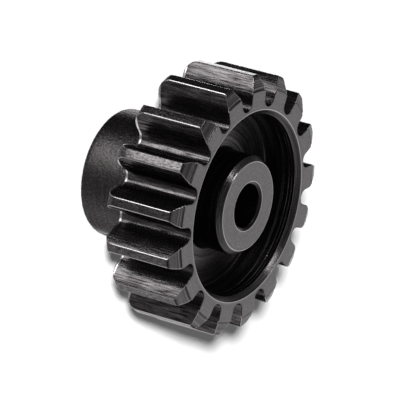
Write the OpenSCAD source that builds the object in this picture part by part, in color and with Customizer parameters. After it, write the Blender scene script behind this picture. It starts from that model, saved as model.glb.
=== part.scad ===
// Spur pinion with a recessed front face and a long hub, held on its shaft by a grub screw.
// It stands on the end of its hub: z runs up the bore to the recessed face.
// The first tooth points along +X, and the grub screw faces +Y.

/* [Teeth] */
// Number of teeth
teeth = 17; // [17:1:24]
// Module: pitch diameter divided by the number of teeth
tooth_module = 1; // [0.95:0.05:1.25]
// Pressure angle of the rack that cuts the teeth, in degrees
pressure_angle = 20; // [20:1:24]
// Height of a tooth above the pitch circle, in modules
addendum_factor = 1; // [0.9:0.05:1.05]
// Depth of a tooth space below the pitch circle, in modules
dedendum_factor = 1.25; // [1.15:0.05:1.25]
// Tip radius of the rack that cuts the teeth, in modules
rack_tip_factor = 0.38; // [0.38:0.01:0.4]
// Length of the teeth along the axis
face_width = 6; // [5:0.25:8]
// Rounding of the tooth crests at the hub side
crest_radius = 0.85; // [0.5:0.05:1.1]

/* [Front face] */
// Depth of the lead-in chamfer where it meets the tooth crests
lead_in_depth = 0.45; // [0.3:0.05:0.6]
// Width of the lead-in chamfer and its turned step, measured in from the crests
lead_in_width = 1.07; // [0.8:0.01:1.2]
// Rounding between the lead-in chamfer and the tooth crests
lead_in_radius = 0.2; // [0.05:0.05:0.3]
// Depth of the turned step at the inner edge of the lead-in
step_depth = 0.09; // [0.03:0.01:0.15]
// Width of the flat that the turned step leaves
step_width = 0.22; // [0.1:0.02:0.4]

/* [Recess] */
// Wall left between the bottom of the tooth spaces and the recess
rim_wall = 0.6; // [0.5:0.05:1]
// Depth of the ring-shaped recess
recess_depth = 2.9; // [2:0.1:4]
// Chamfer round the mouth of the recess
mouth_chamfer = 0.35; // [0.2:0.05:0.4]
// Fillet round the floor of the recess
floor_fillet = 0.2; // [0.1:0.05:0.4]

/* [Boss] */
// Wall of the centre boss round the bore
boss_wall = 2; // [1.4:0.1:2.4]
// Width of the chamfer round the boss
boss_chamfer = 0.35; // [0.2:0.05:0.5]

/* [Hub] */
// Diameter of the hub
hub_d = 9.24; // [8.6:0.02:11]
// Length of the hub behind the teeth
hub_length = 5.4; // [4.6:0.1:8]
// Rounding of the hub's free end
hub_end_radius = 0.45; // [0.2:0.05:0.7]
// Fillet where the hub meets the back of the toothed disc
hub_fillet = 0.3; // [0.1:0.05:0.5]

/* [Bore] */
// Diameter of the shaft that the bore slides onto
shaft_d = 3.175; // [3:0.025:3.6]
// Gap between the shaft and the wall of the bore
shaft_clearance = 0.0125; // [0.005:0.0025:0.03]
// Width of the countersink at each end of the bore
countersink_width = 0.22; // [0.1:0.02:0.4]
// Slope of the countersinks to the end faces, in degrees
countersink_slope = 30; // [20:5:45]

/* [Grub screw] */
// Outer diameter of the grub screw's thread
screw_d = 3; // [2.5:0.5:3]
// Length of the grub screw
screw_length = 2.5; // [2:0.1:2.6]
// Gap round the grub screw in its hole
screw_clearance = 0.03; // [0.02:0.01:0.05]
// Gap between the wall of the bore and the backed-off screw
screw_retreat = 0.15; // [0.1:0.05:0.3]
// Width of the hexagon socket across its flats
socket_flats = 1.5; // [1.3:0.1:1.5]
// Depth of the hexagon socket
socket_depth = 1.2; // [0.8:0.1:1.3]
// Width of the chamfers at both ends of the screw
screw_chamfer = 0.3; // [0.2:0.05:0.4]
// Width of the countersink at the mouth of the screw hole
hole_chamfer = 0.2; // [0.1:0.05:0.3]

/* [Hidden] */
$fn = 96;
steel_colour = [0.17, 0.17, 0.18];
screw_colour = [0.11, 0.11, 0.12];

// Straight pieces in one fillet of the turned outline
arc_steps = 6;
// Straight pieces in one flank, and in the curve at its foot
flank_steps = 8;
foot_steps = 6;
// How far a cutting shape runs past the surface that it opens
overrun = 0.5;

// Gear circles
pitch_r = teeth * tooth_module / 2;
base_r = pitch_r * cos(pressure_angle);
tip_r = pitch_r + addendum_factor * tooth_module;
root_r = pitch_r - dedendum_factor * tooth_module;

// Heights along the axis
disc_back = hub_length;
front = hub_length + face_width;
recess_floor = front - recess_depth;
screw_z = hub_length / 2;

// Radii of the turned outline
bore_r = shaft_d / 2 + shaft_clearance;
hub_r = hub_d / 2;
boss_r = bore_r + boss_wall;
recess_r = root_r - rim_wall;
step_r = tip_r - lead_in_width;
lead_in_slope = atan((lead_in_depth - step_depth) / (lead_in_width - step_width));
countersink_depth = countersink_width * tan(countersink_slope);

// Centre of the rack's tip rounding, from the middle of the rack tooth on the pitch line
rack_tip_r = rack_tip_factor * tooth_module;
rack_tip_y = dedendum_factor * tooth_module - rack_tip_r;
rack_tip_x = PI * tooth_module / 4 - rack_tip_y * tan(pressure_angle) - rack_tip_r / cos(pressure_angle);

// Points of an arc from angle a0 to angle a1 round a centre
function arc(centre, r, a0, a1) = [
    for (i = [0 : arc_steps])
        let (a = a0 + (a1 - a0) * i / arc_steps)
        centre + r * [cos(a), sin(a)]
];

// Involute function, in degrees
function involute(a) = tan(a) * 180 / PI - a;

// Angle from the middle of a tooth space to its flank, at radius r
function space_angle(r) =
    90 / teeth - involute(pressure_angle) + involute(acos(min(1, base_r / r)));

// Point of the foot curve that the rack's rounded tip cuts, with the space centred on +Y.
// The direction phi from the tip's centre turns from straight down to the flank's normal.
function foot_point(phi) =
    let (
        lag = rack_tip_y * cos(phi) / sin(phi),
        roll = (rack_tip_x - lag) / pitch_r * 180 / PI,
        x = lag + rack_tip_r * cos(phi),
        y = pitch_r - rack_tip_y - rack_tip_r * sin(phi)
    )
    [x * cos(roll) + y * sin(roll), y * cos(roll) - x * sin(roll)];

// Point of the involute flank at radius r, with the space centred on +Y
function flank_point(r) = r * [sin(space_angle(r)), cos(space_angle(r))];

// Right half of a tooth space, from the root up past the crests
function space_side() =
    let (
        foot = [
            for (i = [0 : foot_steps])
                foot_point(90 + (pressure_angle - 90) * i / foot_steps)
        ],
        r0 = norm(foot[foot_steps]),
        r1 = tip_r + overrun / 2
    )
    concat(foot, [for (i = [1 : flank_steps]) flank_point(r0 + (r1 - r0) * i / flank_steps)]);

// One tooth space, centred on +Y
module tooth_space() {
    side = space_side();
    last = len(side) - 1;
    polygon(concat(side, [for (i = [0 : last]) [-side[last - i].x, side[last - i].y]]));
}

// Half section of the turned blank, as radius and height: hub, disc, front face, recess, boss and bore
module blank_section() {
    // The straight crests end where the rounding of the lead-in starts
    lead_in_start = front - lead_in_depth - lead_in_radius * tan((90 - lead_in_slope) / 2);
    polygon(concat(
        [[bore_r + countersink_width, 0]],
        arc([hub_r - hub_end_radius, hub_end_radius], hub_end_radius, -90, 0),
        arc([hub_r + hub_fillet, disc_back - hub_fillet], hub_fillet, 180, 90),
        arc([tip_r - crest_radius, disc_back + crest_radius], crest_radius, -90, 0),
        arc([tip_r - lead_in_radius, lead_in_start], lead_in_radius, 0, 90 - lead_in_slope),
        [
            [step_r + step_width, front - step_depth],
            [step_r, front - step_depth],
            [step_r, front],
            [recess_r + mouth_chamfer, front],
            [recess_r, front - mouth_chamfer]
        ],
        arc([recess_r - floor_fillet, recess_floor + floor_fillet], floor_fillet, 0, -90),
        arc([boss_r + floor_fillet, recess_floor + floor_fillet], floor_fillet, -90, -180),
        [
            [boss_r, front - boss_chamfer],
            [boss_r - boss_chamfer, front],
            [bore_r + countersink_width, front],
            [bore_r, front - countersink_depth],
            [bore_r, countersink_depth]
        ]
    ));
}

// Tapped hole that runs from the bore out through one side of the hub
module screw_hole() {
    hole_r = screw_d / 2 + screw_clearance;
    // The hub's round side falls away from the hole's axis, and the countersink starts there
    mouth_y = sqrt(hub_r * hub_r - hole_r * hole_r);
    translate([0, 0, screw_z]) rotate([-90, 0, 0]) {
        cylinder(r = hole_r, h = hub_r + overrun);
        translate([0, 0, mouth_y - hole_chamfer])
            cylinder(r1 = hole_r, r2 = hole_r + hole_chamfer + overrun, h = hole_chamfer + overrun);
    }
}

// Gear, hub and boss in one piece, turned from bar and then hobbed
module gear_body() {
    color(steel_colour)
    difference() {
        rotate_extrude() blank_section();
        for (k = [0 : teeth - 1])
            rotate(360 / teeth * (k + 0.5) - 90)
            translate([0, 0, disc_back - overrun])
            linear_extrude(face_width + 2 * overrun) tooth_space();
        screw_hole();
    }
}

// Grub screw, backed off clear of the bore
module set_screw() {
    screw_r = screw_d / 2;
    color(screw_colour)
    translate([0, bore_r + screw_retreat, screw_z]) rotate([-90, 0, 0])
    difference() {
        rotate_extrude() polygon([
            [0, 0],
            [screw_r - screw_chamfer, 0],
            [screw_r, screw_chamfer],
            [screw_r, screw_length - screw_chamfer],
            [screw_r - screw_chamfer, screw_length],
            [0, screw_length]
        ]);
        translate([0, 0, screw_length - socket_depth])
            cylinder(d = socket_flats / cos(30), h = socket_depth + overrun, $fn = 6);
    }
}

gear_body();
set_screw();
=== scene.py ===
"""Looks of the pinion gear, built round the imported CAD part: gear, grub screw, floor, light and camera."""

import logging
import math
from collections.abc import Iterable
from dataclasses import dataclass, field, replace
from enum import Enum, IntEnum
from functools import partial, reduce

import bpy
import numpy as np
from mathutils import Matrix, Vector

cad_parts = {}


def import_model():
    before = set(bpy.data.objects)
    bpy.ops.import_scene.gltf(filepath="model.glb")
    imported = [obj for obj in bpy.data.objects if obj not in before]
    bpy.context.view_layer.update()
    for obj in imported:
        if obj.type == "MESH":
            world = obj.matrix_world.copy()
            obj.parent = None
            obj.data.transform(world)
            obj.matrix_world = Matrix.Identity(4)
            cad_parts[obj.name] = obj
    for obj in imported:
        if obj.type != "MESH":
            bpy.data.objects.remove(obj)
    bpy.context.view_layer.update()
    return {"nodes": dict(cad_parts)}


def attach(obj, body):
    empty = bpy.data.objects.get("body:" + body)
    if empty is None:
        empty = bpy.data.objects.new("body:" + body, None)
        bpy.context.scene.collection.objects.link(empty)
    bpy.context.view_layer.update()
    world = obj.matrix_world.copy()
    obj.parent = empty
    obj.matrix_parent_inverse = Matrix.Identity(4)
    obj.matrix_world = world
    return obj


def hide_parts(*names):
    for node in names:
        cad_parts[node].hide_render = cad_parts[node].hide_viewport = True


Socket = bpy.types.NodeSocket
Feeds = dict[str | int, object]
Vec = tuple[float, float, float]

MM = 0.001
LOG = logging.getLogger("pinion")

# Turned marks: how much their noise changes round the axis. All marks: the height that gives the whole tone
TURN_WEIGHT, MARK_SWING = 0.9, 0.12
# Noise values between which the marks weaken, and between which the grain changes tone and roughness
PATCHES, GRAIN = (0.35, 0.65), (0.3, 0.7)
# Bright specks: the height where they start, how far more of them lower it, and their gain above it
SPECK_HEIGHT, SPECK_REACH, SPECK_GAIN = 0.78, 0.3, 6.0
# Edge value at which the bumps have faded out
BUMP_END = 0.3
# Millimetres: points this close are joined between the sectors, and the floor lies this far below the part
JOIN_DISTANCE, FLOOR_DROP = 0.0005, 0.01
# Millimetres: lengths this close count as the same
TINY = 1e-6
# Power of an area lamp for each square metre, as a multiple of its radiance
AREA_POWER = 4


class Zone(IntEnum):
    """The surfaces of the gear that are machined differently, each with a finish of its own."""

    FACE = 0
    CHAMFER = 1
    FLANK = 2
    CREST = 3
    RECESS = 4
    BORE = 5
    HUB = 6
    BACK = 7


class Cut(Enum):
    """How a surface was cut, which gives the direction of its tool marks."""

    TURNED = "turned"
    HOBBED = "hobbed"


Materials = dict[Zone, bpy.types.Material]


class NodePen:
    """Writes nodes and links into one node tree."""

    def __init__(self, tree: bpy.types.NodeTree) -> None:
        """Starts on one node tree, which is emptied first."""
        self.tree = tree
        self.tree.nodes.clear()

    def add(self, kind: str, feeds: Feeds | None = None, **settings: object) -> bpy.types.Node:
        """Adds one node.

        Args:
            kind: The node's type name.
            feeds: What goes into its inputs, as for feed.
            settings: Values for the node's own properties.

        Returns:
            The new node.
        """
        node = self.tree.nodes.new(kind)
        for key, value in settings.items():
            setattr(node, key, value)
        self.feed(node, feeds or {})
        return node

    def feed(self, node: bpy.types.Node, feeds: Feeds) -> None:
        """Fills inputs of a node.

        Args:
            node: The node.
            feeds: By name or number of the input: a socket or a node to link, or a plain value to set.
        """
        for key, value in feeds.items():
            source = value.outputs[0] if isinstance(value, bpy.types.Node) else value
            if isinstance(source, Socket):
                self.tree.links.new(source, node.inputs[key])
            else:
                node.inputs[key].default_value = source

    def math(self, operation: str, *values: object) -> Socket:
        """Adds one Math node, with the values in its inputs in order, and gives the result's socket."""
        return self.add("ShaderNodeMath", dict(enumerate(values)), operation=operation).outputs[0]

    def ramp(
        self, value: object, low: object, high: float, to_low: float = 0.0, to_high: float = 1.0
    ) -> Socket:
        """Maps low to to_low and high to to_high, holds the value at these ends, and gives its socket."""
        feeds = dict(enumerate((value, low, high, to_low, to_high)))
        return self.add("ShaderNodeMapRange", feeds, clamp=True).outputs[0]


@dataclass(frozen=True)
class Effect:
    """A shader node group that several finishes share."""

    name: str
    inputs: tuple[tuple[str, float], ...]
    outputs: tuple[str, ...]

    def start(self) -> tuple[NodePen, bpy.types.Node, bpy.types.Node]:
        """Makes the empty group with its sockets.

        Returns:
            The pen, the group's input node and its output node.
        """
        tree = bpy.data.node_groups.new(self.name, "ShaderNodeTree")
        for name, value in self.inputs:
            socket = tree.interface.new_socket(name, in_out="INPUT", socket_type="NodeSocketFloat")
            socket.default_value = value
        for name in self.outputs:
            tree.interface.new_socket(name, in_out="OUTPUT", socket_type="NodeSocketFloat")
        pen = NodePen(tree)
        return pen, pen.add("NodeGroupInput"), pen.add("NodeGroupOutput")


def millimetres(pen: NodePen) -> Socket:
    """Reads object coordinates in millimetres, and gives their socket."""
    place = pen.add("ShaderNodeTexCoord").outputs["Object"]
    return pen.add("ShaderNodeMapping", {"Vector": place, "Scale": (1 / MM, 1 / MM, 1 / MM)}).outputs[0]


def cut_marks(cut: Cut) -> bpy.types.NodeTree:
    """Builds the group of tool marks, which run round the axis when turned and along it when hobbed.

    Args:
        cut: The way the surface was cut.

    Returns:
        The node group, which puts out the marks' height and a tone that varies with them.
    """
    inputs = (("Lines per mm", 6.0), ("Stretch", 8.0), ("Broken", 0.5))
    pen, source, sink = Effect(f"{cut.value}_marks", inputs, ("Height", "Tone")).start()
    place = millimetres(pen)
    x, y, z = pen.add("ShaderNodeSeparateXYZ", {0: place}).outputs
    lines = source.outputs["Lines per mm"]
    if cut is Cut.HOBBED:
        parts = ((x, lines), (y, lines), (z, pen.math("DIVIDE", lines, source.outputs["Stretch"])))
    else:
        radius = pen.math("SQRT", pen.math("ADD", pen.math("MULTIPLY", x, x), pen.math("MULTIPLY", y, y)))
        parts = ((radius, lines), (z, lines), (pen.math("COSINE", pen.math("ARCTAN2", y, x)), TURN_WEIGHT))
    spin = pen.add("ShaderNodeCombineXYZ", {i: pen.math("MULTIPLY", *part) for i, part in enumerate(parts)})
    fine = pen.add("ShaderNodeTexNoise", {"Vector": spin, "Scale": 1.0, "Detail": 3.0, "Roughness": 0.6})
    patches = pen.add("ShaderNodeTexNoise", {"Vector": place, "Scale": 0.9, "Detail": 2.0, "Roughness": 0.5})
    weak = pen.math("MULTIPLY", source.outputs["Broken"], pen.ramp(patches, *PATCHES))
    height = pen.math("MULTIPLY", pen.math("SUBTRACT", fine, 0.5), pen.math("SUBTRACT", 1.0, weak))
    pen.feed(sink, {"Height": height, "Tone": pen.ramp(height, -MARK_SWING, MARK_SWING)})
    return pen.tree


def speckle() -> bpy.types.NodeTree:
    """Builds the group of fine grain that the blackening leaves.

    Returns:
        The node group, which puts out the grain's height and a mask of its bright specks.
    """
    effect = Effect("speckle", (("Grains per mm", 14.0), ("Specks", 0.4)), ("Height", "Mask"))
    pen, source, sink = effect.start()
    feeds = {0: millimetres(pen), "Scale": source.outputs["Grains per mm"]}
    scaled = pen.add("ShaderNodeVectorMath", feeds, operation="SCALE")
    grain = pen.add("ShaderNodeTexNoise", {"Vector": scaled, "Scale": 1.0, "Detail": 2.0, "Roughness": 0.7})
    limit = pen.math("SUBTRACT", SPECK_HEIGHT, pen.math("MULTIPLY", source.outputs["Specks"], SPECK_REACH))
    above = pen.math("MAXIMUM", pen.math("SUBTRACT", grain, limit), 0.0)
    pen.feed(sink, {"Height": grain, "Mask": pen.math("MULTIPLY", above, SPECK_GAIN)})
    return pen.tree


def edge_wear() -> bpy.types.NodeTree:
    """Builds the group that finds the rounded edges, where the blackening is thin.

    Returns:
        The node group, which puts out the mask of the worn edges.
    """
    pen, source, sink = Effect("edge_wear", (("Reach", 0.5), ("Break up", 0.12)), ("Mask",)).start()
    edge = pen.add("ShaderNodeAttribute", attribute_name="edge").outputs["Fac"]
    feeds = {"Vector": millimetres(pen), "Scale": 4.0, "Detail": 3.0, "Roughness": 0.6}
    patches = pen.math("MULTIPLY", pen.add("ShaderNodeTexNoise", feeds), source.outputs["Break up"])
    worn = pen.math("SUBTRACT", edge, patches)
    pen.feed(sink, {"Mask": pen.ramp(worn, pen.math("SUBTRACT", 1.0, source.outputs["Reach"]), 1.0)})
    return pen.tree


@dataclass(frozen=True)
class SteelFinish:
    """One finish of the blackened steel. Tones are linear reflectances, and lengths are in millimetres."""

    name: str
    cut: Cut
    dark: float
    light: float
    worn: float
    roughness: float
    roughness_spread: float = 0.06
    grazing: float = 1.0
    lines: float = 6.0
    stretch: float = 8.0
    broken: float = 0.5
    mark_depth: float = 0.004
    grains: float = 14.0
    specks: float = 0.3
    grain_depth: float = 0.002
    mottle: float = 0.3
    matt: float = 0.001
    # Gain and added tone of red, green and blue
    warmth: tuple[tuple[float, float], ...] = ((1.04, 0.0018), (1.0, 0.0), (1.01, 0.0004))

    def build(self, effects: dict[str, bpy.types.NodeTree]) -> bpy.types.Material:
        """Builds the material.

        Args:
            effects: The shared node groups by name.

        Returns:
            The new material.
        """
        material = bpy.data.materials.new(self.name)
        material.use_nodes = True
        pen = NodePen(material.node_tree)
        values = {"Lines per mm": self.lines, "Stretch": self.stretch, "Broken": self.broken}
        marks = pen.add("ShaderNodeGroup", values, node_tree=effects[self.cut.value]).outputs
        values = {"Grains per mm": self.grains, "Specks": self.specks}
        grain = pen.add("ShaderNodeGroup", values, node_tree=effects["speckle"]).outputs
        wear = pen.add("ShaderNodeGroup", node_tree=effects["edge_wear"])
        tone = pen.ramp(marks["Tone"], 0.0, 1.0, self.dark, self.light)
        tone = pen.math("MULTIPLY", tone, pen.ramp(grain["Height"], *GRAIN, 1 - self.mottle, 1 + self.mottle))
        tone = pen.math("ADD", tone, pen.math("MULTIPLY", grain["Mask"], self.light))
        metal = pen.add("ShaderNodeMix", {0: wear, 2: tone, 3: self.worn}, data_type="FLOAT")
        # The oxide scatters a little light: Metallic shares the colour between the mirror and the matt part
        whole = pen.math("ADD", metal, self.matt)
        colours = {i: pen.math("MULTIPLY_ADD", whole, *warmth) for i, warmth in enumerate(self.warmth)}
        spread = self.roughness_spread
        edge = pen.add("ShaderNodeAttribute", attribute_name="edge").outputs["Fac"]
        bump = {"Strength": pen.ramp(edge, 0.0, BUMP_END, 1.0, 0.0)}
        bump |= {"Distance": self.grain_depth * MM, "Height": grain["Height"]}
        fine = pen.add("ShaderNodeBump", bump)
        bump |= {"Distance": self.mark_depth * MM, "Height": marks["Height"], "Normal": fine}
        shader = pen.add("ShaderNodeBsdfPrincipled", {
            "Base Color": pen.add("ShaderNodeCombineColor", colours),
            "Metallic": pen.math("DIVIDE", metal, whole),
            "Roughness": pen.ramp(grain["Height"], *GRAIN, self.roughness - spread, self.roughness + spread),
            "Normal": pen.add("ShaderNodeBump", bump),
            "Specular IOR Level": 0.0,
            "Specular Tint": (self.grazing, self.grazing, self.grazing, 1.0),
        })
        pen.add("ShaderNodeOutputMaterial", {"Surface": shader})
        return material


FINISHES = {
    Zone.FACE: SteelFinish(
        "ground_face", Cut.TURNED, 0.105, 0.135, 0.50, 0.34,
        lines=5.0, mark_depth=0.0015, grains=8.0, specks=0.5, grain_depth=0.004,
    ),
    Zone.CHAMFER: SteelFinish(
        "turned_chamfer", Cut.TURNED, 0.06, 0.15, 0.50, 0.22,
        grazing=0.7, lines=6.5, broken=0.15, mark_depth=0.05,
    ),
    Zone.FLANK: SteelFinish(
        "hobbed_flank", Cut.HOBBED, 0.004, 0.09, 0.40, 0.26,
        grazing=0.15, lines=8.5, stretch=13.0, mark_depth=0.02, grains=7.0, grain_depth=0.004,
    ),
    Zone.CREST: SteelFinish(
        "turned_crest", Cut.HOBBED, 0.025, 0.09, 0.28, 0.26,
        grazing=0.5, lines=8.0, stretch=2.5, mark_depth=0.01, grains=7.0, specks=0.4, grain_depth=0.004,
    ),
    Zone.RECESS: SteelFinish(
        "turned_recess", Cut.TURNED, 0.008, 0.105, 0.15, 0.28,
        lines=4.0, broken=0.2, mark_depth=0.04, matt=0.0003,
    ),
    Zone.BORE: SteelFinish(
        "reamed_bore", Cut.TURNED, 0.02, 0.05, 0.20, 0.24,
        lines=5.0, mark_depth=0.03, matt=0.0003,
    ),
    Zone.HUB: SteelFinish(
        "satin_hub", Cut.TURNED, 0.028, 0.040, 0.10, 0.28,
        grazing=0.4, lines=5.0, mark_depth=0.002, grains=8.0, specks=0.7, grain_depth=0.03,
    ),
    Zone.BACK: SteelFinish(
        "turned_back", Cut.TURNED, 0.04, 0.07, 0.15, 0.36, lines=8.0, mark_depth=0.008,
    ),
}
SCREW_FINISH = SteelFinish("screw_black", Cut.TURNED, 0.03, 0.05, 0.18, 0.32, lines=10.0)


@dataclass(frozen=True)
class ToothForm:
    """Form of one rack-cut tooth, in millimetres and degrees."""

    teeth: int = 17
    module: float = 1.0
    pressure_angle: float = 20.0
    addendum: float = 1.0
    dedendum: float = 1.25
    rack_tip: float = 0.38
    corner: float = 0.07
    crest_steps: int = 4
    corner_steps: int = 4
    flank_steps: int = 8
    foot_steps: int = 6

    @property
    def pitch_r(self) -> float:
        """Radius of the pitch circle."""
        return self.teeth * self.module / 2

    @property
    def tip_r(self) -> float:
        """Radius of the tooth crests."""
        return self.pitch_r + self.addendum * self.module

    @property
    def half_pitch(self) -> float:
        """Half the angle from tooth to tooth, in radians."""
        return math.pi / self.teeth

    def half_angle(self, radius: float) -> float:
        """Half the angle that a tooth spans at one radius.

        Args:
            radius: Radius on the flank, in millimetres.

        Returns:
            The angle in radians.
        """
        cut = math.radians(self.pressure_angle)
        here = math.acos(min(1.0, self.pitch_r * math.cos(cut) / radius))
        return self.half_pitch / 2 + (math.tan(cut) - cut) - (math.tan(here) - here)

    def foot(self) -> list[tuple[float, float]]:
        """Curve at the tooth's foot that the rack's rounded tip cuts, from the flank down to the root.

        Returns:
            Radius and angle from the middle of the tooth, in millimetres and radians.
        """
        cut = math.radians(self.pressure_angle)
        tip_r = self.rack_tip * self.module
        tip_y = self.dedendum * self.module - tip_r
        tip_x = math.pi * self.module / 4 - tip_y * math.tan(cut) - tip_r / math.cos(cut)
        points = []
        for step in range(self.foot_steps + 1):
            phi = cut + (math.pi / 2 - cut) * step / self.foot_steps
            lag = tip_y * math.cos(phi) / math.sin(phi)
            roll = (tip_x - lag) / self.pitch_r
            x = lag + tip_r * math.cos(phi)
            y = self.pitch_r - tip_y - tip_r * math.sin(phi)
            points.append((math.hypot(x, y), self.half_pitch - math.atan2(x, y) - roll))
        return points

    def half_outline(self, top: float) -> list[tuple[float, float]]:
        """One side of a tooth that ends at a given radius, from its middle to the middle of the space.

        Args:
            top: Radius of the crest, in millimetres.

        Returns:
            Radius and angle of each point.
        """
        side = self.half_angle(top)
        crest = side - self.corner / top
        points = [(top, crest * step / self.crest_steps) for step in range(self.crest_steps + 1)]
        low = top - self.corner
        start = np.array([top * math.cos(crest), top * math.sin(crest)])
        bend = np.array([top * math.cos(side), top * math.sin(side)])
        angle = self.half_angle(low)
        end = np.array([low * math.cos(angle), low * math.sin(angle)])
        for step in range(1, self.corner_steps):
            t = step / self.corner_steps
            x, y = (1 - t) ** 2 * start + 2 * t * (1 - t) * bend + t * t * end
            points.append((math.hypot(x, y), math.atan2(y, x)))
        foot = self.foot()
        for radius in np.linspace(low, foot[0][0], self.flank_steps + 1)[:-1]:
            points.append((float(radius), self.half_angle(float(radius))))
        return points + foot + [(foot[-1][0], self.half_pitch)]

    def outline(self, top: float, inset: float) -> np.ndarray:
        """The whole section of one pitch, with the tooth on +X, moved into the metal.

        Args:
            top: Radius of the crest before it is moved, in millimetres.
            inset: How far the outline moves into the metal.

        Returns:
            The points, from one space's middle to the next.
        """
        half = self.half_outline(top)
        polar = [(r, -a) for r, a in reversed(half[1:])] + half
        points = np.array([(r * math.cos(a), r * math.sin(a)) for r, a in polar])
        if inset == 0:
            return points
        turn = 2 * self.half_pitch
        spin = np.array([[math.cos(turn), -math.sin(turn)], [math.sin(turn), math.cos(turn)]])
        ring = np.vstack([points[-2] @ spin, points, points[1] @ spin.T])
        steps = np.diff(ring, axis=0)
        normals = np.stack([steps[:, 1], -steps[:, 0]], axis=1)
        normals /= np.linalg.norm(normals, axis=1, keepdims=True)
        blend = normals[1:] + normals[:-1]
        blend /= np.linalg.norm(blend, axis=1, keepdims=True)
        return points - inset * blend

    def columns(self) -> dict[str, range]:
        """Which strips of the outline are crest and corner, counted from one space's middle.

        Returns:
            The strips by name; all others are flank.
        """
        middle = len(self.half_outline(self.tip_r)) - 1
        widths = {"top": self.crest_steps + self.corner_steps, "crest": self.crest_steps}
        return {name: range(middle - wide, middle + wide) for name, wide in widths.items()}


@dataclass(frozen=True)
class Corner:
    """One corner of the turned section: its radius and height, its rounding, and the zone that follows it."""

    r: float
    z: float
    rounding: float
    zone: Zone
    steps: int = 2
    splits: int = 1
    burnished: bool = False


@dataclass(frozen=True)
class Ring:
    """One ring of the body's mesh, round the axis or along the tooth outline."""

    r: float
    z: float
    zone: Zone
    edge: float = 0.0
    toothed: bool = False
    inset: float = 0.0


def between(first: Ring, last: Ring, shares: Iterable[float], zone: Zone) -> list[Ring]:
    """Rings of one zone on the straight line from one ring to another, at these shares of its length."""
    return [Ring(first.r + (last.r - first.r) * t, first.z + (last.z - first.z) * t, zone) for t in shares]


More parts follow.
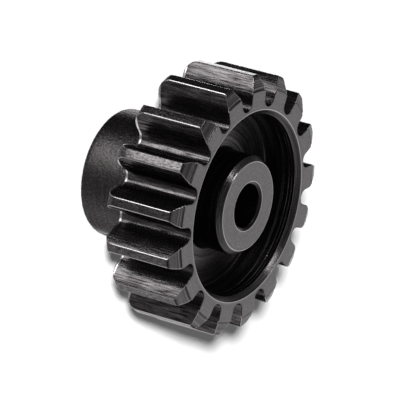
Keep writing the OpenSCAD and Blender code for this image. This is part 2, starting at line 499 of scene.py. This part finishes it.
@dataclass(frozen=True)
class GearBody:
    """The turned and hobbed body: hub, toothed disc, recess, boss and bore, in millimetres."""

    form: ToothForm = field(default_factory=ToothForm)
    face_width: float = 6.0
    crest_radius: float = 0.85
    lead_in_depth: float = 0.45
    lead_in_width: float = 1.07
    lead_in_radius: float = 0.2
    step_depth: float = 0.09
    step_width: float = 0.22
    recess_r: float = 6.65
    recess_depth: float = 2.9
    mouth_chamfer: float = 0.35
    floor_fillet: float = 0.2
    boss_r: float = 3.6
    boss_chamfer: float = 0.35
    hub_r: float = 4.62
    hub_length: float = 5.4
    hub_end_radius: float = 0.45
    hub_fillet: float = 0.3
    bore_r: float = 1.6
    countersink_width: float = 0.22
    countersink_slope: float = 30.0
    edge_break: float = 0.035
    rim_break: float = 0.05
    burnish: float = 0.06
    # Heights of the fine lines scored in the recess wall, and their depth
    scores: tuple[float, ...] = (10.2, 10.6, 10.85)
    score_depth: float = 0.04
    # How much further in than the edge break the first and last ring of the teeth lie
    end_reach: float = 0.05
    # Upper edge of the turned step: drop as a share of the edge break, and edge value
    step_edge: tuple[tuple[float, float], ...] = ((0.0, 0.5), (1 - math.sqrt(0.5), 0.6), (1.0, 0.0))
    # Places of the rings along the lead-in and the straight crests, as shares of their lengths
    lead_in_shares: tuple[float, ...] = (0.35, 0.7)
    crest_shares: tuple[float, ...] = (0.25, 0.5, 0.75)
    # Rings on the crests' rounding, in degrees, and the angle past which its blackening is thin
    crest_angles: tuple[float, ...] = (0, 14, 28, 40, 46, 52, 60)
    crest_worn_past: float = 46
    # Radii of the rings on the back of the disc
    back_radii: tuple[float, ...] = (7.0, 5.9)

    @property
    def front(self) -> float:
        """Height of the recessed front face."""
        return self.hub_length + self.face_width

    def round_corner(self, before: Corner, here: Corner, after: Corner) -> list[Ring]:
        """Rings that round one corner of the turned section.

        Args:
            before: The corner before it.
            here: The corner to round.
            after: The corner after it.

        Returns:
            The rings, the middle ones marked as edge.
        """
        centre = np.array([here.r, here.z])
        back = np.array([before.r, before.z]) - centre
        ahead = np.array([after.r, after.z]) - centre
        back, ahead = back / np.linalg.norm(back), ahead / np.linalg.norm(ahead)
        half = math.acos(float(np.clip(back @ ahead, -1, 1))) / 2
        reach = here.rounding / math.tan(half)
        middle = centre + (back + ahead) / np.linalg.norm(back + ahead) * here.rounding / math.sin(half)
        start, end = centre + back * reach - middle, centre + ahead * reach - middle
        sweep = math.pi - 2 * half
        sharp = here.rounding <= self.rim_break
        rings = []
        for step in range(here.steps + 1):
            t = step / max(1, here.steps)
            a, b = math.sin((1 - t) * sweep) / math.sin(sweep), math.sin(t * sweep) / math.sin(sweep)
            r, z = middle + a * start + b * end
            worn = here.burnished or sharp and 0 < step < here.steps
            rings.append(Ring(float(r), float(z), here.zone, 1.0 if worn else 0.0))
        if here.burnished:
            first, last = (centre + way * (reach + self.burnish) for way in (back, ahead))
            rings.insert(0, Ring(float(first[0]), float(first[1]), before.zone))
            rings.append(Ring(float(last[0]), float(last[1]), here.zone))
        return rings

    def turned(self, corners: list[Corner], closed_by: tuple[Corner, Corner]) -> list[Ring]:
        """Rings of one run of the turned section.

        Args:
            corners: The run's corners in order.
            closed_by: The corners before and after the run.

        Returns:
            The rings in order, long strips split.
        """
        chain = [closed_by[0], *corners, closed_by[1]]
        rings: list[Ring] = []
        for before, here, after in zip(chain, chain[1:], chain[2:]):
            new = self.round_corner(before, here, after)
            if rings:
                shares = [step / before.splits for step in range(1, before.splits)]
                rings += between(rings[-1], new[0], shares, before.zone)
            rings += new
        return rings

    def inner_corners(self) -> list[Corner]:
        """Corners from the hub's end up the bore, over the boss and through the recess to its mouth.

        Returns:
            The corners in order.
        """
        b, rim, top = self.edge_break, self.rim_break, self.front
        sink_r = self.bore_r + self.countersink_width
        sink = self.countersink_width * math.tan(math.radians(self.countersink_slope))
        floor, depth = top - self.recess_depth, self.score_depth
        scored: list[Corner] = []
        for z in self.scores:
            scored += [
                Corner(self.recess_r, z - depth, 0, Zone.CHAMFER, steps=0),
                Corner(self.recess_r + depth, z, 0, Zone.RECESS, steps=0),
                Corner(self.recess_r, z + depth / 2, 0, Zone.RECESS, steps=0),
            ]
        return [
            Corner(sink_r, 0, b, Zone.BORE),
            Corner(self.bore_r, sink, b, Zone.BORE, splits=6),
            Corner(self.bore_r, top - sink, b, Zone.BORE),
            Corner(sink_r, top, rim, Zone.FACE, steps=3, splits=2, burnished=True),
            Corner(self.boss_r - self.boss_chamfer, top, rim, Zone.CHAMFER, steps=3, burnished=True),
            Corner(self.boss_r, top - self.boss_chamfer, b, Zone.RECESS, splits=3),
            Corner(self.boss_r, floor, self.floor_fillet, Zone.RECESS, steps=3, splits=3),
            Corner(self.recess_r, floor, self.floor_fillet, Zone.RECESS, steps=3, splits=3),
            *scored,
            Corner(self.recess_r, top - self.mouth_chamfer, b, Zone.CHAMFER),
            Corner(self.recess_r + self.mouth_chamfer, top, rim, Zone.FACE, steps=3, burnished=True),
        ]

    def outer_corners(self) -> list[Corner]:
        """Corners from the back of the disc down the hub to its end.

        Returns:
            The corners in order.
        """
        return [
            Corner(self.hub_r, self.hub_length, self.hub_fillet, Zone.HUB, steps=5, splits=5),
            Corner(self.hub_r, 0, self.hub_end_radius, Zone.HUB, steps=6),
        ]

    def end_inset(self, z: float) -> float:
        """How far the tooth outline moves in at one height, to round the edges of the end faces.

        Args:
            z: The height, in millimetres.

        Returns:
            The inset, in millimetres.
        """
        b = self.edge_break
        depth = max(0.0, b - (self.front - z), b - (z - self.hub_length))
        return b - math.sqrt(max(0.0, b * b - depth * depth))

    def toothed(self) -> list[Ring]:
        """Rings along the teeth, from the front face to the back of the disc.

        Returns:
            The rings in order.
        """
        b, top, tip = self.edge_break, self.front, self.form.tip_r
        step_r, land_z = tip - self.lead_in_width, top - self.step_depth
        back, crest_end = self.hub_length, self.hub_length + self.crest_radius
        # A ring this close above the step's floor keeps its wall upright
        tiny = self.step_depth / 20
        rim, foot = Corner(step_r, land_z, 0, Zone.CHAMFER), Corner(tip, back, 0, Zone.CREST)
        start = Corner(step_r + self.step_width, land_z, b, Zone.CHAMFER, steps=4)
        shoulder = Corner(tip, top - self.lead_in_depth, self.lead_in_radius, Zone.CREST, steps=6)
        rings = [Ring(step_r, top, Zone.FACE, 0.0, True, b + self.end_reach)]
        for share, edge in self.step_edge:
            z = top - b * share
            rings.append(Ring(step_r, z, Zone.CHAMFER, edge, True, self.end_inset(z)))
        rings.append(Ring(step_r, land_z + tiny, Zone.CHAMFER, 0.0, True))
        lead_in, bend = self.round_corner(rim, start, shoulder), self.round_corner(start, shoulder, foot)
        slope = between(lead_in[-1], bend[0], self.lead_in_shares, Zone.CHAMFER)
        crest_ends = Ring(tip, bend[-1].z, Zone.CREST), Ring(tip, crest_end, Zone.CREST)
        crest = between(*crest_ends, self.crest_shares, Zone.CREST)
        rings += [replace(ring, toothed=True) for ring in lead_in + slope + bend + crest]
        last = math.degrees(math.asin(1 - b / self.crest_radius))
        for angle in (*self.crest_angles, last, (last + 90) / 2, 90):
            a = math.radians(angle)
            r, z = tip - self.crest_radius * (1 - math.cos(a)), crest_end - self.crest_radius * math.sin(a)
            edge = 1.0 if angle > self.crest_worn_past else 0.0
            rings.append(Ring(r, z, Zone.CREST, edge, True, self.end_inset(z)))
        rings.append(Ring(tip - self.crest_radius, back, Zone.BACK, 0.0, True, b + self.end_reach))
        return rings

    def rings(self) -> list[Ring]:
        """All rings of the body, once round its section.

        Returns:
            The rings; the last one joins the first.
        """
        inner, outer = self.inner_corners(), self.outer_corners()
        rim = Corner(self.form.tip_r, self.front, 0, Zone.FACE)
        back = Corner(self.form.tip_r, self.hub_length, 0, Zone.BACK)
        rings = self.turned(inner, (outer[-1], rim)) + self.toothed()
        rings += [Ring(r, self.hub_length, Zone.BACK) for r in self.back_radii]
        rings += self.turned(outer, (back, inner[0]))
        last = rings[-1]
        rings.append(Ring((last.r + self.bore_r) / 2, 0, Zone.BACK))
        return rings

    def sector(self) -> bpy.types.Mesh:
        """Builds one pitch of the body, a tooth with half a space at each side.

        Returns:
            The mesh, with its zone for each face and its edge value for each point.
        """
        form, rings = self.form, self.rings()
        strips = form.columns()
        front = form.outline(form.tip_r - self.lead_in_width, 0)
        count = len(front)
        angles = np.arctan2(front[:, 1], front[:, 0])
        angles = (angles + np.linspace(-form.half_pitch, form.half_pitch, count)) / 2
        corner_points = [
            *range(strips["top"].start + 1, strips["crest"].start),
            *range(strips["crest"].stop + 1, strips["top"].stop),
        ]
        points, edges = [], []
        for ring in rings:
            if ring.toothed:
                flat = form.outline(ring.r, ring.inset)
            else:
                flat = np.stack([ring.r * np.cos(angles), ring.r * np.sin(angles)], axis=1)
            points.append(np.column_stack([flat, np.full(count, ring.z)]))
            edge = np.full(count, ring.edge)
            if ring.toothed and ring.inset <= self.edge_break:
                edge[corner_points] = 1.0
            edges.append(edge)
        faces, zones = [], []
        for i, ring in enumerate(rings):
            below = (i + 1) % len(rings)
            for j in range(count - 1):
                faces.append((i * count + j, below * count + j, below * count + j + 1, i * count + j + 1))
                zone = ring.zone
                if ring.toothed and rings[below].toothed and zone is not Zone.FACE and j not in strips["top"]:
                    zone = Zone.FLANK
                zones.append(zone)
        mesh = bpy.data.meshes.new("tooth_sector")
        mesh.from_pydata((np.vstack(points) * MM).tolist(), [], faces)
        mesh.attributes.new("zone", "INT", "FACE").data.foreach_set("value", np.array(zones, dtype=np.int32))
        worn = np.concatenate(edges).astype(np.float32)
        mesh.attributes.new("edge", "FLOAT", "POINT").data.foreach_set("value", worn)
        return mesh

    def tree(self, materials: Materials) -> tuple[bpy.types.NodeTree, str, str]:
        """Builds the geometry nodes that set one sector round the axis for each tooth.

        Args:
            materials: The material of each zone.

        Returns:
            The tree, and the identifiers of its inputs for the number of teeth and the joining distance.
        """
        tree = bpy.data.node_groups.new("tooth_ring", "GeometryNodeTree")
        face = tree.interface
        face.new_socket("Sector", in_out="INPUT", socket_type="NodeSocketGeometry")
        teeth = face.new_socket("Teeth", in_out="INPUT", socket_type="NodeSocketInt")
        join = face.new_socket("Join distance", in_out="INPUT", socket_type="NodeSocketFloat")
        face.new_socket("Body", in_out="OUTPUT", socket_type="NodeSocketGeometry")
        pen = NodePen(tree)
        source = pen.add("NodeGroupInput").outputs
        turn = pen.math("DIVIDE", 2 * math.pi, source["Teeth"])
        angle = pen.math("MULTIPLY", pen.add("GeometryNodeInputIndex"), turn)
        copies = pen.add("GeometryNodeInstanceOnPoints", {
            "Points": pen.add("GeometryNodePoints", {"Count": source["Teeth"]}),
            "Instance": source["Sector"],
            "Rotation": pen.add("ShaderNodeCombineXYZ", {"Z": angle}),
        })
        last = pen.add("GeometryNodeRealizeInstances", {0: copies})
        last = pen.add("GeometryNodeMergeByDistance", {"Geometry": last, "Distance": source["Join distance"]})
        last = pen.add("GeometryNodeSetShadeSmooth", {"Geometry": last})
        zone = pen.add("GeometryNodeInputNamedAttribute", {"Name": "zone"}, data_type="INT")
        for key, material in materials.items():
            same = pen.add("FunctionNodeCompare", data_type="INT", operation="EQUAL")
            ints = [i for i, socket in enumerate(same.inputs) if socket.type == "INT"]
            pen.feed(same, dict(zip(ints, (zone.outputs["Attribute"], int(key)))))
            feeds = {"Geometry": last, "Selection": same, "Material": material}
            last = pen.add("GeometryNodeSetMaterial", feeds)
        pen.add("NodeGroupOutput", {0: last})
        return tree, teeth.identifier, join.identifier

    def build(self, materials: Materials, cutter: bpy.types.Object) -> bpy.types.Object:
        """Builds the finished body.

        Args:
            materials: The material of each zone.
            cutter: The tapped hole's solid, which is cut away and deleted.

        Returns:
            The body's object.
        """
        body = placed("pinion_body", self.sector())
        tree, teeth, join = self.tree(materials)
        ring = body.modifiers.new("tooth_ring", "NODES")
        ring.node_group = tree
        ring[teeth] = self.form.teeth
        ring[join] = JOIN_DISTANCE * MM
        hole = body.modifiers.new("screw_hole", "BOOLEAN")
        hole.operation, hole.solver, hole.object = "DIFFERENCE", "MANIFOLD", cutter
        plain(body)
        bpy.data.objects.remove(cutter)
        return body


def placed(name: str, data: bpy.types.ID) -> bpy.types.Object:
    """Makes an object and links it to the scene.

    Args:
        name: The object's name.
        data: Its mesh, lamp or camera.

    Returns:
        The new object.
    """
    made = bpy.data.objects.new(name, data)
    bpy.context.scene.collection.objects.link(made)
    return made


def sheet(name: str, corners: list[Vec], material: bpy.types.Material) -> bpy.types.Object:
    """Makes a flat panel with four corners.

    Args:
        name: The panel's name.
        corners: Its corners in millimetres.
        material: Its material.

    Returns:
        The panel's object.
    """
    mesh = bpy.data.meshes.new(name)
    mesh.from_pydata([tuple(Vector(corner) * MM) for corner in corners], [], [(0, 1, 2, 3)])
    mesh.materials.append(material)
    return placed(name, mesh)


def plain(piece: bpy.types.Object) -> None:
    """Turns a piece's modifiers into plain mesh.

    Args:
        piece: The object, whose modifiers are removed.
    """
    graph = bpy.context.evaluated_depsgraph_get()
    final = piece.evaluated_get(graph)
    mesh = bpy.data.meshes.new_from_object(final, preserve_all_data_layers=True, depsgraph=graph)
    slots = list(mesh.materials)
    used = [material for material in dict.fromkeys(slots) if material]
    indices = np.zeros(len(mesh.polygons), dtype=np.int32)
    mesh.polygons.foreach_get("material_index", indices)
    # Faces that have no material, which are those of the screw hole's wall, take the first one
    places = np.array([used.index(material) if material else 0 for material in slots], dtype=np.int32)
    mesh.materials.clear()
    for material in used:
        mesh.materials.append(material)
    mesh.polygons.foreach_set("material_index", places[indices])
    piece.modifiers.clear()
    piece.data = mesh


@dataclass(frozen=True)
class GrubScrew:
    """The grub screw with its hexagon socket, and its tapped hole, along +Y. Sizes are in millimetres."""

    radius: float = 1.5
    pitch: float = 0.5
    thread_depth: float = 0.27
    length: float = 2.5
    start: float = 1.75
    height: float = 2.7
    chamfer: float = 0.3
    flats: float = 1.5
    socket_depth: float = 1.2
    clearance: float = 0.03
    hole_chamfer: float = 0.2
    cup_r: float = 0.7
    cup_depth: float = 0.35
    socket_break: float = 0.05
    socket_cone: float = 0.15
    centre_r: float = 0.02
    # Thread form, over one pitch: its depth at the middle before it is held at 1, and the slope of its sides
    thread_top: float = 1.25
    thread_slope: float = 3.0
    # How far the hole's solid runs on past the hub
    overrun: float = 1.0
    columns: int = 96
    turn_steps: int = 10

    def thread(self, along: float, turn: np.ndarray, extra: float) -> np.ndarray:
        """Radius of the thread at one place along the screw, for each angle.

        Args:
            along: Distance along +Y, in millimetres.
            turn: Angles round the screw, in radians.
            extra: Added to the radius, for the hole.

        Returns:
            The radii.
        """
        phase = (along / self.pitch - turn / (2 * math.pi)) % 1.0
        ramp = np.clip(self.thread_top - np.abs(phase - 0.5) * self.thread_slope, 0.0, 1.0)
        return self.radius + extra - self.thread_depth * ramp

    def mesh(self, name: str, rings: list[tuple[float, np.ndarray]]) -> bpy.types.Mesh:
        """Closed mesh of rings round the screw's axis, each end closed to a point.

        Args:
            name: The mesh's name.
            rings: Distance along +Y and radii for each ring.

        Returns:
            The mesh in the part's frame.
        """
        turn = self.turns()
        points = [(0.0, rings[0][0], self.height)]
        for along, radii in rings:
            radii = np.broadcast_to(radii, turn.shape)
            points += [(r * math.sin(a), along, self.height + r * math.cos(a)) for r, a in zip(radii, turn)]
        points.append((0.0, rings[-1][0], self.height))
        n, last = self.columns, len(points) - 1
        faces = [(0, 1 + (j + 1) % n, 1 + j) for j in range(n)]
        for i in range(len(rings) - 1):
            a, b = 1 + i * n, 1 + (i + 1) * n
            faces += [(a + j, a + (j + 1) % n, b + (j + 1) % n, b + j) for j in range(n)]
        top = 1 + (len(rings) - 1) * n
        faces += [(top + j, top + (j + 1) % n, last) for j in range(n)]
        mesh = bpy.data.meshes.new(name)
        mesh.from_pydata((np.array(points) * MM).tolist(), [], faces)
        mesh.shade_smooth()
        return mesh

    def turns(self) -> np.ndarray:
        """Angles of the mesh's columns."""
        return np.arange(self.columns) * 2 * math.pi / self.columns

    def cutter(self, hub_r: float) -> bpy.types.Object:
        """Solid of the tapped hole, from inside the bore out through the hub.

        Args:
            hub_r: Radius of the hub.

        Returns:
            The cutter's object.
        """
        hole_r = self.radius + self.clearance
        mouth = math.sqrt(hub_r * hub_r - hole_r * hole_r) - self.hole_chamfer
        turn = self.turns()
        step = self.pitch / self.turn_steps
        rings = []
        along = 0.0
        while along < mouth:
            rings.append((along, self.thread(along, turn, self.clearance)))
            along += step
        rings.append((mouth, np.full(self.columns, hole_r)))
        rings.append((mouth + self.overrun, np.full(self.columns, hole_r + self.overrun)))
        return placed("hole_cutter", self.mesh("hole_cutter", rings))

    def build(self, material: bpy.types.Material) -> bpy.types.Object:
        """Builds the screw.

        Args:
            material: The screw's finish.

        Returns:
            The screw's object.
        """
        turn, end = self.turns(), self.start + self.length
        hexagon = self.flats / 2 / np.cos((turn % (math.pi / 3)) - math.pi / 6)
        centre = np.full(self.columns, self.centre_r)
        rings = [(self.start + self.cup_depth, centre), (self.start, np.full(self.columns, self.cup_r))]
        along = self.start
        while along < end + TINY:
            cone = self.radius - self.chamfer + min(along - self.start, end - along)
            rings.append((along, np.minimum(self.thread(along, turn, 0.0), cone)))
            along += self.pitch / self.turn_steps
        rings += [
            (end, hexagon + self.socket_break),
            (end - self.socket_break, hexagon),
            (end - self.socket_depth, hexagon),
            (end - self.socket_depth - self.socket_cone, centre),
        ]
        mesh = self.mesh("grub_screw", rings)
        mesh.materials.append(material)
        return placed("grub_screw", mesh)


@dataclass(frozen=True)
class SoftLamp:
    """A soft rectangular lamp that the camera doesn't see, in millimetres. Reflections show its radiance."""

    name: str
    place: Vec
    aim: Vec
    size: tuple[float, float]
    radiance: float
    lights_floor: bool = True

    def build(self) -> None:
        """Puts the lamp in the scene."""
        lamp = bpy.data.lights.new(self.name, "AREA")
        lamp.shape = "RECTANGLE"
        lamp.size, lamp.size_y = (side * MM for side in self.size)
        lamp.energy = self.radiance * AREA_POWER * lamp.size * lamp.size_y
        holder = placed(self.name, lamp)
        holder.location = Vector(self.place) * MM
        holder.rotation_mode = "QUATERNION"
        holder.rotation_quaternion = (Vector(self.aim) - Vector(self.place)).to_track_quat("-Z", "Y")
        holder.visible_camera = False
        holder.visible_diffuse = self.lights_floor


@dataclass(frozen=True)
class Band:
    """A change of tone in the painted surroundings that reflections show, from one place to another along a
    direction.
    """

    toward: Vec
    start: float
    end: float
    before: float
    after: float

    def tone(self, pen: NodePen, way: Socket) -> Socket:
        """Writes the band's tone for the direction looked at, and gives its socket."""
        along = pen.add("ShaderNodeVectorMath", {0: way, 1: self.toward}, operation="DOT_PRODUCT")
        return pen.ramp(along.outputs["Value"], self.start, self.end, self.before, self.after)


# Directions along which the painted surroundings change tone
UP = (0.0, 0.0, 1.0)
BRIGHT_SIDE = (0.287, 0.882, 0.375)
LOW_SIDE = (0.85, 0.53, 0.0)


@dataclass(frozen=True)
class Studio:
    """Pale floor, surroundings that the camera sees white and reflections see as painted tones, a dark flag
    and soft lamps. Sizes are in millimetres.
    """

    floor_colour: float = 0.93
    floor_glow: float = 0.03
    floor_half: float = 2000.0
    ambient: float = 0.10
    # Painted reflections, which only the metal shows and which light nothing: a wall with painted shade, a
    # strip by the horizon, a table and what is below
    painted_wall: tuple[Band, ...] = (Band(BRIGHT_SIDE, -0.1, 0.3, 0.04, 0.4), Band(BRIGHT_SIDE, 0.6, 0.95, 0.0, 0.6))
    painted_wall_shade: Band = Band((-1.0, 0.0, 0.35), 0.40, 0.60, 1.0, 0.35)
    painted_strip: tuple[Band, ...] = (
        Band(UP, -0.05, 0.1, 0.0, 1.0), Band(UP, 0.33, 0.5, 1.0, 0.0),
        Band((-0.5, -0.866, 0.0), 0.12, 0.45, 0.0, 0.7),
    )
    painted_table: tuple[Band, ...] = (
        Band(LOW_SIDE, -0.15, 0.35, 0.15, 0.62), Band((0.087, -0.996, 0.0), 0.72, 0.85, 0.0, 0.45),
        Band(LOW_SIDE, 0.3, 0.8, 0.0, 1.7), Band((0.139, 0.990, 0.0), 0.78, 0.88, 0.0, 0.5),
    )
    horizon: Band = Band(UP, -0.35, -0.05, 1.0, 0.0)
    underside: Band = Band(UP, -0.9, -0.65, 1.0, 0.0)
    key_from: Vec = (-58.5, -251.0, 150.0)
    key_strength: float = 6.4
    key_angle: float = 3.2
    # A dark panel that only reflections show, black with a faint glow: a painted dark reflection
    flag_x: float = -150.0
    flag_y: tuple[float, float] = (-110.0, 180.0)
    flag_z: tuple[float, float] = (-250.0, 112.0)
    flag_drop: float = 152.0
    flag_glow: float = 0.10
    lamps: tuple[SoftLamp, ...] = (
        SoftLamp("side_box", (-73.7, -118.0, -52.0), (0.0, 0.0, 7.0), (95.0, 62.0), 6.0),
        SoftLamp("back_box", (-62.0, 113.0, -69.0), (0.0, 0.0, 7.0), (34.0, 50.0), 10.0),
        SoftLamp("top_card", (-86.0, -18.0, 102.0), (0.0, 0.0, 11.4), (40.0, 18.0), 8.5, lights_floor=False),
    )

    def flag(self) -> bpy.types.Object:
        """Builds the dark panel at the gear's side, a painted dark reflection that keeps the unlit metal
        black; it glows faintly, blocks no light and casts no shadow.

        Returns:
            The panel's object, which only reflections show.
        """
        x, (y0, y1), (z0, z1) = self.flag_x, self.flag_y, self.flag_z
        corners = [(x, y0, z0), (x, y1, z0), (x, y1, z1), (x, y0, z1 - self.flag_drop)]
        # Black with a faint glow and seen only in reflections: painted dark reflection
        material = bpy.data.materials.new("painted_dark_reflection")
        material.use_nodes = True
        pen = NodePen(material.node_tree)
        shader = pen.add("ShaderNodeBsdfPrincipled", {
            "Base Color": (0.0, 0.0, 0.0, 1.0),
            "Specular IOR Level": 0.0,
            "Emission Color": (1.0, 1.0, 1.0, 1.0),
            "Emission Strength": self.flag_glow,
        })
        pen.add("ShaderNodeOutputMaterial", {"Surface": shader})
        panel = sheet("dark_flag", corners, material)
        panel.visible_camera = panel.visible_diffuse = panel.visible_shadow = False
        return panel

    @staticmethod
    def seen(pen: NodePen) -> Socket:
        """Mask of the rays that show the background: camera, glossy and transmission rays.

        Args:
            pen: The pen to write with.

        Returns:
            The mask's socket.
        """
        path = pen.add("ShaderNodeLightPath")
        shown = pen.math("MAXIMUM", path.outputs["Is Camera Ray"], path.outputs["Is Glossy Ray"])
        return pen.math("MAXIMUM", shown, path.outputs["Is Transmission Ray"])

    def floor(self) -> bpy.types.Object:
        """Builds the floor.

        Returns:
            The floor's object.
        """
        half = self.floor_half
        material = bpy.data.materials.new("pale_floor")
        material.use_nodes = True
        pen = NodePen(material.node_tree)
        matt = pen.add("ShaderNodeBsdfDiffuse", {"Color": (self.floor_colour,) * 3 + (1.0,)})
        shown = pen.math("MULTIPLY", self.seen(pen), self.floor_glow)
        glow = pen.add("ShaderNodeEmission", {"Strength": shown})
        pen.add("ShaderNodeOutputMaterial", {"Surface": pen.add("ShaderNodeAddShader", {0: matt, 1: glow})})
        corners = [(x * half, y * half, -FLOOR_DROP) for x, y in ((-1, -1), (1, -1), (1, 1), (-1, 1))]
        floor = sheet("floor", corners, material)
        # Reflections pass through the floor and show the world's painted table instead; lamps below it shine
        # through
        floor.visible_glossy = floor.visible_shadow = False
        return floor

    def surroundings(self) -> None:
        """Sets the world: dim for the light it gives, white to the camera, and for reflections painted tones
        of a wall, a strip by the horizon and a table.
        """
        world = bpy.data.worlds.new("studio")
        bpy.context.scene.world = world
        world.use_nodes = True
        pen = NodePen(world.node_tree)
        way = pen.add("ShaderNodeTexCoord").outputs["Generated"]
        painted_wall, near, painted_table = (
            reduce(partial(pen.math, how), [band.tone(pen, way) for band in bands])
            for how, bands in (("ADD", self.painted_wall), ("MULTIPLY", self.painted_strip), ("ADD", self.painted_table))
        )
        painted_wall = pen.math("ADD", pen.math("MULTIPLY", painted_wall, self.painted_wall_shade.tone(pen, way)), near)
        painted_table = pen.math("MULTIPLY", self.horizon.tone(pen, way), painted_table)
        painted_table = pen.math("MAXIMUM", painted_table, self.underside.tone(pen, way))
        # The camera sees white; the metal's reflections see the painted wall and table
        camera = pen.add("ShaderNodeLightPath").outputs["Is Camera Ray"]
        white = pen.math("MAXIMUM", camera, pen.math("MAXIMUM", painted_wall, painted_table))
        strength = pen.add("ShaderNodeMix", {0: self.seen(pen), 2: self.ambient, 3: white}, data_type="FLOAT")
        air = pen.add("ShaderNodeBackground", {"Color": (1.0, 1.0, 1.0, 1.0), "Strength": strength})
        pen.add("ShaderNodeOutputWorld", {"Surface": air})

    def key(self) -> None:
        """Puts up the key light, which lights the floor evenly and isn't itself seen in the metal."""
        lamp = bpy.data.lights.new("key", "SUN")
        lamp.energy, lamp.angle = self.key_strength, math.radians(self.key_angle)
        holder = placed("key", lamp)
        holder.location = Vector(self.key_from) * MM
        holder.rotation_mode = "QUATERNION"
        holder.rotation_quaternion = Vector(self.key_from).to_track_quat("Z", "Y")
        holder.visible_glossy = False

    def build(self) -> list[bpy.types.Object]:
        """Builds floor, surroundings and lamps.

        Returns:
            The objects that aren't part of the gear.
        """
        self.surroundings()
        self.key()
        for lamp in self.lamps:
            lamp.build()
        return [self.floor(), self.flag()]


@dataclass(frozen=True)
class PhotoCamera:
    """The camera that took the photograph, in the part's frame. Millimetres and degrees."""

    place: Vec = (-36.072, -266.753, 166.259)
    aim: Vec = (0.560, 0.701, 7.006)
    roll: float = 105.304
    lens: float = 395.80
    sensor: float = 36.0

    def build(self) -> bpy.types.Object:
        """Puts the camera in the scene and makes it the scene's own.

        Returns:
            The camera's object.
        """
        data = bpy.data.cameras.new("photo_camera")
        data.lens, data.sensor_width = self.lens, self.sensor
        data.clip_start, data.clip_end = 10 * MM, 10000 * MM
        camera = placed("photo_camera", data)
        camera.location = Vector(self.place) * MM
        upright = (Vector(self.aim) - Vector(self.place)).to_track_quat("-Z", "Y").to_matrix()
        roll = Matrix.Rotation(math.radians(self.roll), 3, "Z")
        camera.rotation_mode = "QUATERNION"
        camera.rotation_quaternion = (upright @ roll).to_quaternion()
        bpy.context.scene.camera = camera
        return camera


def shared_effects() -> dict[str, bpy.types.NodeTree]:
    """Builds the node groups that the finishes share.

    Returns:
        The groups by name.
    """
    groups = {cut.value: cut_marks(cut) for cut in Cut}
    groups["speckle"] = speckle()
    groups["edge_wear"] = edge_wear()
    return groups


def report(piece: bpy.types.Object) -> None:
    """Logs one piece's name and size of mesh."""
    piece.data.calc_loop_triangles()
    LOG.info("%s: %d triangles", piece.name, len(piece.data.loop_triangles))


def main() -> None:
    """Builds the gear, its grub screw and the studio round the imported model."""
    logging.basicConfig(level=logging.INFO, format="%(name)s: %(message)s")
    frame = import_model()
    LOG.info("frame: %s", ", ".join(frame["nodes"]))

    effects = shared_effects()
    materials = {zone: finish.build(effects) for zone, finish in FINISHES.items()}
    gear, screw = GearBody(), GrubScrew()
    body = gear.build(materials, screw.cutter(gear.hub_r))
    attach(body, "root")
    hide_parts("gear_body")
    report(body)

    grub = screw.build(SCREW_FINISH.build(effects))
    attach(grub, "root")
    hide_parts("set_screw")
    report(grub)

    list(Studio().build())
    PhotoCamera().build()
    bpy.context.scene.view_settings.view_transform = "Standard"


if __name__ == "__main__":
    main()
